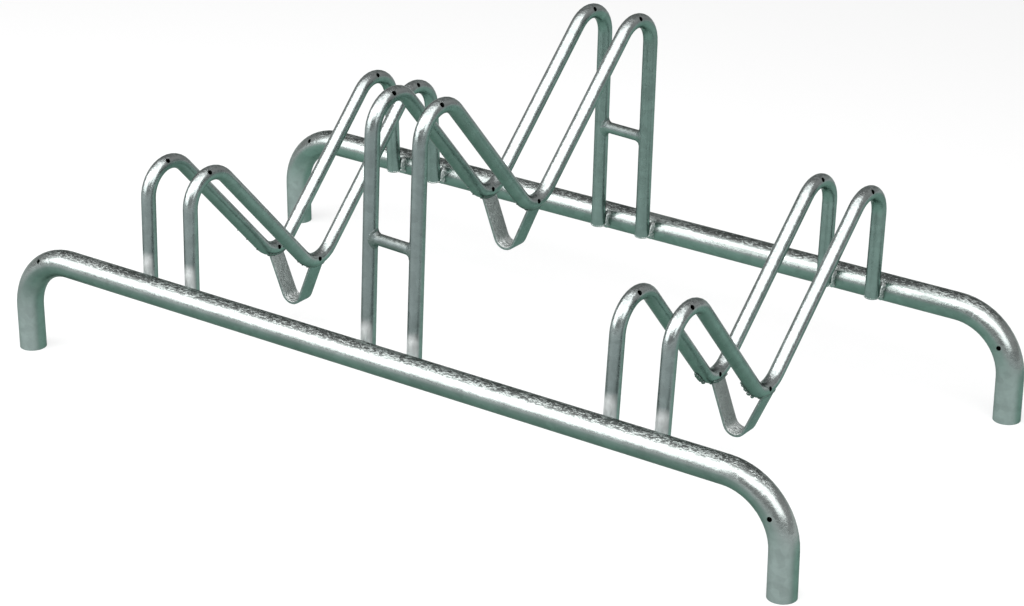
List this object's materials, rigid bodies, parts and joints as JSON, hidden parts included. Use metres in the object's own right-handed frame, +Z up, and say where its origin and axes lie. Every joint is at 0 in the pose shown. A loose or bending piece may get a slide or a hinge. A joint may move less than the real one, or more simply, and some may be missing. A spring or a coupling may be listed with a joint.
{
  "type": "floor bike rack",
  "caption": "Free-standing galvanised steel rack that holds bicycle wheels between paired M-shaped hoops, welded between two base rails, the middle pair higher than the outer pairs.",
  "frame": {"origin": "on the ground under the middle of the rack", "axes": "+X along the base rails, +Y from the front rail to the rear rail, +Z up"},
  "size_m": [1.1296, 0.5616, 0.4358],
  "materials": {
    "tube_zinc": "hot-dip galvanised tube, bright and slightly mottled",
    "strap_zinc": "hot-dip galvanised flat bar, dull and mottled",
    "weld_zinc": "weld beads under the same zinc coat"
  },
  "bodies": {
    "root": {"rail_front": "tube_zinc", "rail_rear": "tube_zinc", "left_bay_hoop_left": "tube_zinc", "left_bay_hoop_right": "tube_zinc", "middle_bay_hoop_left": "tube_zinc", "middle_bay_hoop_right": "tube_zinc", "right_bay_hoop_left": "tube_zinc", "right_bay_hoop_right": "tube_zinc", "left_bay_strap": "strap_zinc", "middle_bay_strap": "strap_zinc", "right_bay_strap": "strap_zinc", "bridge_front": "tube_zinc", "bridge_rear": "tube_zinc", "left_bay_leg_welds": "weld_zinc", "middle_bay_leg_welds": "weld_zinc", "right_bay_leg_welds": "weld_zinc", "left_bay_strap_welds": "weld_zinc", "middle_bay_strap_welds": "weld_zinc", "right_bay_strap_welds": "weld_zinc", "bridge_front_welds": "weld_zinc", "bridge_rear_welds": "weld_zinc"}
  },
  "joints": []
}
